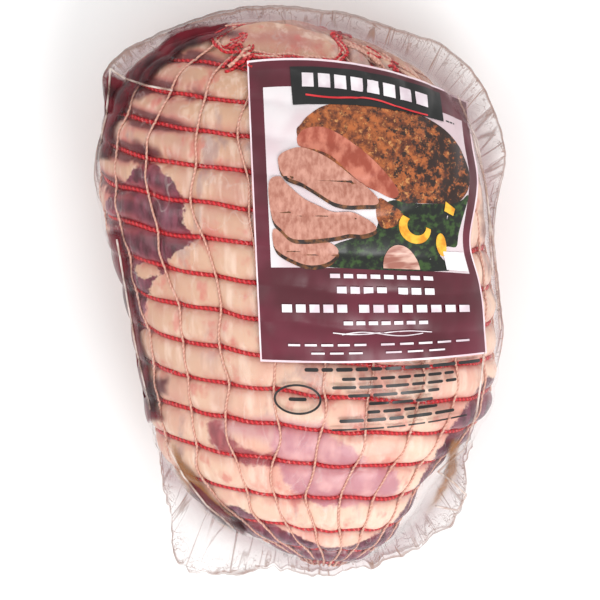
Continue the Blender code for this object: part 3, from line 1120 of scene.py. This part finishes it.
def make_print(film):
    press = Printer(film)
    frame_strips = (
        box(0, 1, 0, WINDOW_BOX[2]), box(0, 1, WINDOW_BOX[3], 1),
        box(0, WINDOW_BOX[0], WINDOW_BOX[2], WINDOW_BOX[3]),
        box(WINDOW_BOX[1], 1, WINDOW_BOX[2], WINDOW_BOX[3]),
    )
    press.lay("print_field", frame_strips, ink("print_field", "4E0A1C", "66182E", 25), 1)
    rule = 0.007
    keyline = (box(-rule, 1 + rule, -rule, 0), box(-rule, 1 + rule, 1, 1 + rule),
               box(-rule, 0, 0, 1), box(1, 1 + rule, 0, 1))
    press.lay("print_rule", keyline, ink("print_rule", "E8C9D2", "F4E4EA"), 1)
    press.lay("print_window", (box(*WINDOW_BOX),),
              ink("print_window", "E4CCD2", "F4EEF0", 22, low=0.35, high=0.6, solid=0.84), 1)
    press.lay("print_greens", (smooth(picture(*GREENS)),),
              ink("print_greens", "0A1208", "34501F", 330, 5, low=0.45, high=0.68), 2)
    press.lay("print_crust", (smooth(picture(*ROAST)), smooth(picture(*HEEL), 36)), roast_ink(), 3)
    press.lay("print_cut", (smooth(picture(*CUT_FACE)),),
              ink("print_cut", "9A4430", "C87862", 200, 4, (1, 0.5, 1)), 4)
    for layer, outline in enumerate(SLICES):
        edge = smooth(picture(*outline)) + np.array((0.002, 0.014))
        press.lay(f"print_slice_rim_{layer}", (edge,),
                  ink(f"print_rim_{layer}", "22100A", "7A4A22", 300, 4), 5 + 2 * layer)
        press.lay(f"print_slice_{layer}", (smooth(picture(*outline)),),
                  ink(f"print_slice_{layer}", "A36452", "CE9684", 520, 5, (1, 0.5, 1), 0.25, 0.75),
                  6 + 2 * layer)
    peel = np.concatenate((oval((.735, .745), (.085, .095), 24, 0.0, 0.62),
                           oval((.745, .735), (.050, .055), 20, 0.0, 0.62)[::-1]))
    peels = (picture(*peel), picture((.888, .56), (.94, .595), (.935, .64), (.885, .62)),
             picture(*oval((.874, .83), (.028, .07), 20)))
    press.lay("print_peel", peels, ink("print_peel", "D98E1A", "F2BE3A", 200), 5)
    shallot = np.concatenate((oval((.647, .995), (.093, .14), 30, 0.5, 0.999), ((.74, .995),)))
    press.lay("print_shallot", (picture(*shallot),),
              ink("print_shallot", "A5685A", "E0B8A8", 90, 2, (1, 4, 1)), 5)
    press.lay("print_corner", (picture((.88, .87), (.995, .86), (.995, .985), (.88, .985)),),
              ink("print_corner", "ECE6EA", "F6F2F4"), 5)
    panel = np.array(((.184, .022), (.868, .016), (.874, .125), (.19, .152)))
    press.lay("print_panel", (panel,), ink("print_panel", "060606", "101010"), 6)
    make_bars(press)


def rounded_bar(left, right, middle, height):
    """A bar with round ends, in shares of the label."""
    across = height * LABEL_SIZE[1] / LABEL_SIZE[0] / 2
    right_end = oval((right - across, middle), (across, height / 2), 9, -0.25, 0.25)
    left_end = oval((left + across, middle), (across, height / 2), 9, 0.25, 0.75)
    return np.concatenate((right_end, left_end))


def word_bars(chance, left, right, middle, height):
    """A line of bars of uneven length, like a line of words seen from afar."""
    bars = []
    while left < right - 0.02:
        width = min(chance.uniform(0.045, 0.12), right - left)
        bars.append(rounded_bar(left, left + width, middle, height))
        left += width + 0.012
    return bars


PALE_BLOCKS = (
    (.716, .014, .32, .80, 8),
    (.762, .022, .347, .585, 4), (.762, .022, .62, .80, 3),
    (.825, .026, .10, .405, 5), (.825, .026, .44, .955, 8),
    (.873, .012, .37, .76, 7),
    (.947, .007, .12, .485, 5), (.947, .007, .53, .95, 5),
    (.974, .006, .22, .47, 3), (.974, .006, .55, .84, 3),
)
DARK_LINES = (
    (.186, .973, 1.030, .013), (.35, .85, 1.062, .011), (.305, .86, 1.090, .011), (.373, .79, 1.118, .011),
    (.464, .75, 1.148, .011), (.455, .768, 1.176, .011), (.33, .86, 1.203, .012), (.295, .90, 1.232, .006),
)


def ribbon(left, right, middle, rise, waves, width):
    """A thin wavy line across the label."""
    line = [(left + (right - left) * t, middle + rise * math.sin(waves * math.tau * t))
            for t in np.linspace(0, 1, 48)]
    line = np.array(line)
    return np.concatenate((line, line[::-1] + np.array((0, width))))


def blocks(left, right, middle, height, count):
    """A row of plain blocks."""
    pitch = (right - left) / count
    return [box(left + pitch * k, left + pitch * (k + 0.72), middle - height / 2, middle + height / 2)
            for k in range(count)]


def make_bars(press):
    """Plain bars and an oval where the bag has its words and stamp."""
    chance = random.Random(4)
    pale = blocks(.235, .825, .068, .046, 8)
    for middle, height, left, right, count in PALE_BLOCKS:
        pale += blocks(left, right, middle, height, count)
    pale += [ribbon(.32, .76, .905, .006, 1.0, .0035), ribbon(.36, .72, .911, -.007, 1.0, .0035)]
    press.lay("print_pale_bars", pale, ink("print_pale", "D9C6CF", "F4EDF0"), 9)
    press.lay("print_red_line", (ribbon(.25, .80, .114, .006, 1.4, .006),),
              ink("print_red", "C81E28", "E03A40"), 9)
    dark = [rounded_bar(.885, .925, .118, .006), rounded_bar(.86, .95, .662, .005),
            rounded_bar(.86, .955, .675, .005)]
    for left, right, middle, height in DARK_LINES:
        dark += word_bars(chance, left, right, middle, height)
    outer, inner = oval((.150, 1.130), (.106, .052), 60), oval((.150, 1.130), (.096, .0445), 60)
    outer, inner = np.concatenate((outer, outer[:1])), np.concatenate((inner, inner[:1]))
    for start in range(0, 60, 15):
        dark.append(np.concatenate((outer[start:start + 16], inner[start:start + 16][::-1])))
    dark.append(rounded_bar(.11, .19, 1.130, .012))
    press.lay("print_dark_bars", dark, ink("print_dark", "0C0A0A", "1C1818"), 1)


# ---------------------------------------------------------------- the gathered net

def make_gather():
    """Bunched cords at the net's mouth: a rim of several cords and two tangles."""
    chance = random.Random(12)
    tubes, pale = [], []
    for strand in range(4):
        girths = np.linspace(0, 1, 420, endpoint=False)
        sway = 0.010 * wander(np.full(420, 0.3 * strand), girths, 0.22, 60.0 + strand)
        rows = mouth(girths) + sway + 0.004 * (strand - 1.5)
        points, out = leg_frame(rows, girths)
        path = points + out * (0.0004 * strand - 0.0012)
        (tubes if strand % 2 else pale).append(tube(path, out, 0.0008, 6, True, 0.2, CORD_PITCH))
    for x, y in ((-28, 113), (-24, 105), (31, 108), (40, 104), (-22, 121)):
        for _ in range(9):
            girth, row = nearest_net_place(x / 1000, y / 1000)
            count = 40
            t = np.linspace(0, 1, count)
            bend = chance.uniform(-1, 1)
            heading = chance.uniform(0, math.tau)
            size = chance.uniform(0.006, 0.016)
            girths = girth + (size * np.cos(heading + bend * 3 * t) * (t - 0.5)) / 0.41 + chance.uniform(
                -0.012, 0.012)
            rows = row + (size * np.sin(heading + bend * 3 * t) * (t - 0.5)) / 0.29 + chance.uniform(
                -0.015, 0.015)
            points, out = leg_frame(np.clip(rows, 0.02, 1), girths)
            path = points + out * chance.uniform(-0.0012, 0.0006)
            choice = tubes if chance.random() < 0.5 else pale
            choice.append(tube(path, out, chance.uniform(0.0005, 0.0010), 6, False, 0.2, CORD_PITCH))
    red = join_tubes("net_gather_red", tubes)
    finish_piece(red, bpy.data.materials["ring_elastic"])
    cream = join_tubes("net_gather_cream", pale)
    finish_piece(cream, bpy.data.materials["string_elastic"])


def nearest_net_place(x, y):
    """The girth and the row of the front of the leg that shows nearest to a place on the view plane."""
    rows, girths = np.meshgrid(np.linspace(0.02, 0.3, 60), np.linspace(0.02, 0.48, 90), indexing="ij")
    away = np.linalg.norm(seen(leg_surface(rows, girths)) - np.array((x, y)), axis=-1)
    best = np.unravel_index(np.argmin(away), away.shape)
    return girths[best], rows[best]


def main():
    make_leg()
    make_rings()
    make_strings()
    make_gather()
    film = make_film()
    margin = make_margin()
    make_folds(film, margin)
    make_print(film)
    make_stage()


def make_stage():
    bpy.ops.mesh.primitive_plane_add(size=8.0, location=(0, 0, 0))
    floor = bpy.context.object
    floor.name = "floor"
    floor.data.materials.append(floor_material())

    def lamp(name, place, size, energy, colour=(1, 1, 1)):
        data = bpy.data.lights.new(name, "AREA")
        data.shape = "DISK"
        data.size = size
        data.energy = energy
        data.color = colour
        made = bpy.data.objects.new(name, data)
        made.location = place
        made.rotation_euler = (-Vector(place)).to_track_quat("-Z", "Y").to_euler()
        bpy.context.scene.collection.objects.link(made)

    lamp("key", (0.45, -0.60, 0.95), 0.6, 6)
    lamp("fill", (-0.75, 0.25, 1.05), 1.0, 3)
    world = bpy.data.worlds.new("studio")
    world.use_nodes = True
    world.node_tree.nodes["Background"].inputs["Color"].default_value = (1, 1, 1, 1)
    world.node_tree.nodes["Background"].inputs["Strength"].default_value = 0.95
    bpy.context.scene.world = world
    bpy.context.scene.view_settings.view_transform = "Standard"

    camera = bpy.data.objects.new("camera", bpy.data.cameras.new("camera"))
    camera.data.sensor_width = 36
    camera.data.lens = 36 * VIEW_DISTANCE / VIEW_FIELD
    camera.location = VIEW_CENTRE + TO_CAMERA * VIEW_DISTANCE - VIEW_UP * VIEW_DROP
    camera.rotation_euler = (-VIEW_TILT, 0, 0)
    bpy.context.scene.collection.objects.link(camera)
    bpy.context.scene.camera = camera


main()
